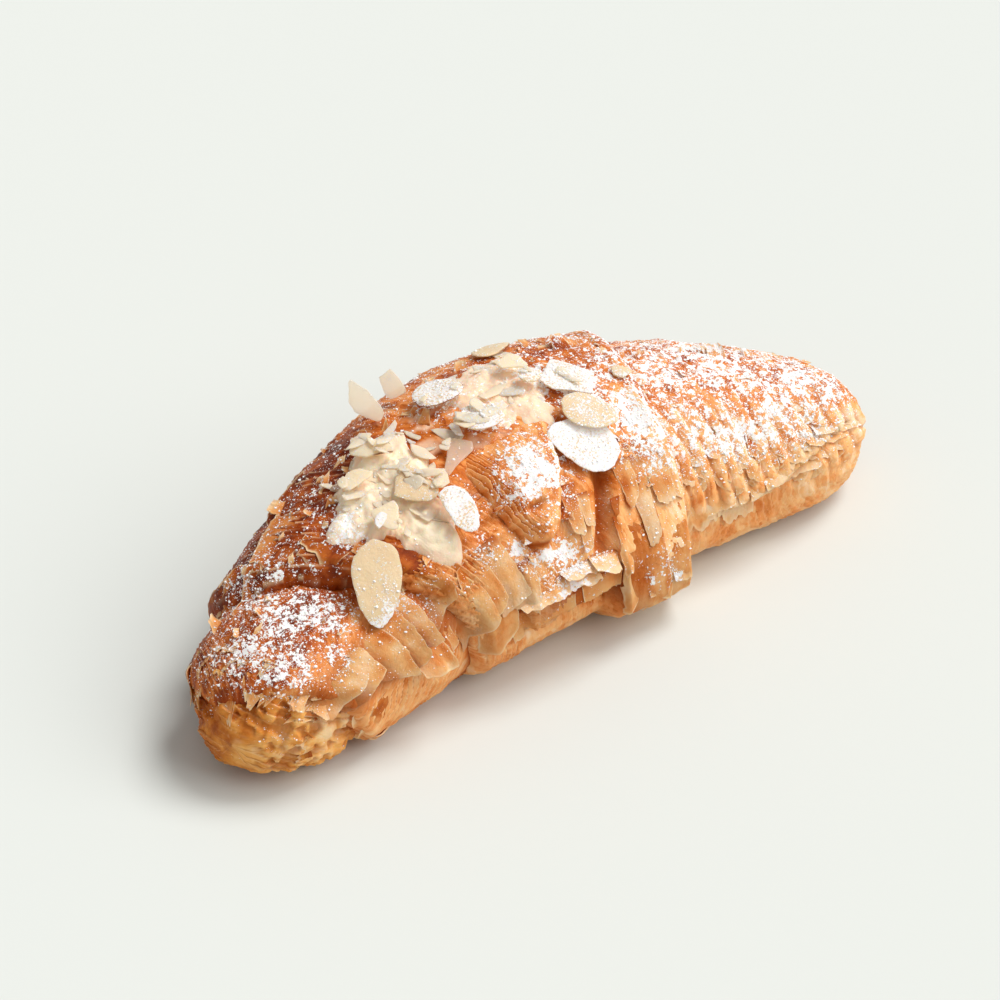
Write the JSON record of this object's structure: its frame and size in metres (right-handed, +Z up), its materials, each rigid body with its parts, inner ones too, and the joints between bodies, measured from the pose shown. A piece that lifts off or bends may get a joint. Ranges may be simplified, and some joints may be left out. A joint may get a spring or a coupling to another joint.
{
  "type": "almond croissant",
  "caption": "Baked crescent of rolled laminated dough with flaky wraps, topped with almond cream, sliced almonds and icing sugar.",
  "frame": {"origin": "middle of the bounding box, on the counter that the croissant lies on", "axes": "+X along the crescent from its near tip to its far tip, +Y towards the outer side of the bend, +Z up"},
  "size_m": [0.1834, 0.074, 0.0566],
  "materials": {
    "crust": "baked, flaky, satin",
    "cream": "baked almond cream, grainy",
    "almond": "cut nut, waxy matte",
    "sugar": "icing sugar, powdery"
  },
  "bodies": {
    "root": {"pastry": "crust", "almond_cream_near": "cream", "almond_cream_far": "cream", "almond_slice_01": "almond", "almond_slice_02": "almond", "almond_slice_03": "almond", "almond_slice_04": "almond", "almond_slice_05": "almond", "almond_slice_06": "almond", "almond_slice_07": "almond", "almond_slice_08": "almond", "almond_slice_09": "almond", "almond_slice_10": "almond", "almond_slice_11": "almond", "almond_slice_12": "almond", "almond_slice_13": "almond", "almond_slice_14": "almond", "almond_slice_15": "almond", "almond_slice_16": "almond", "almond_slice_17": "almond", "almond_slice_18": "almond"}
  },
  "joints": []
}
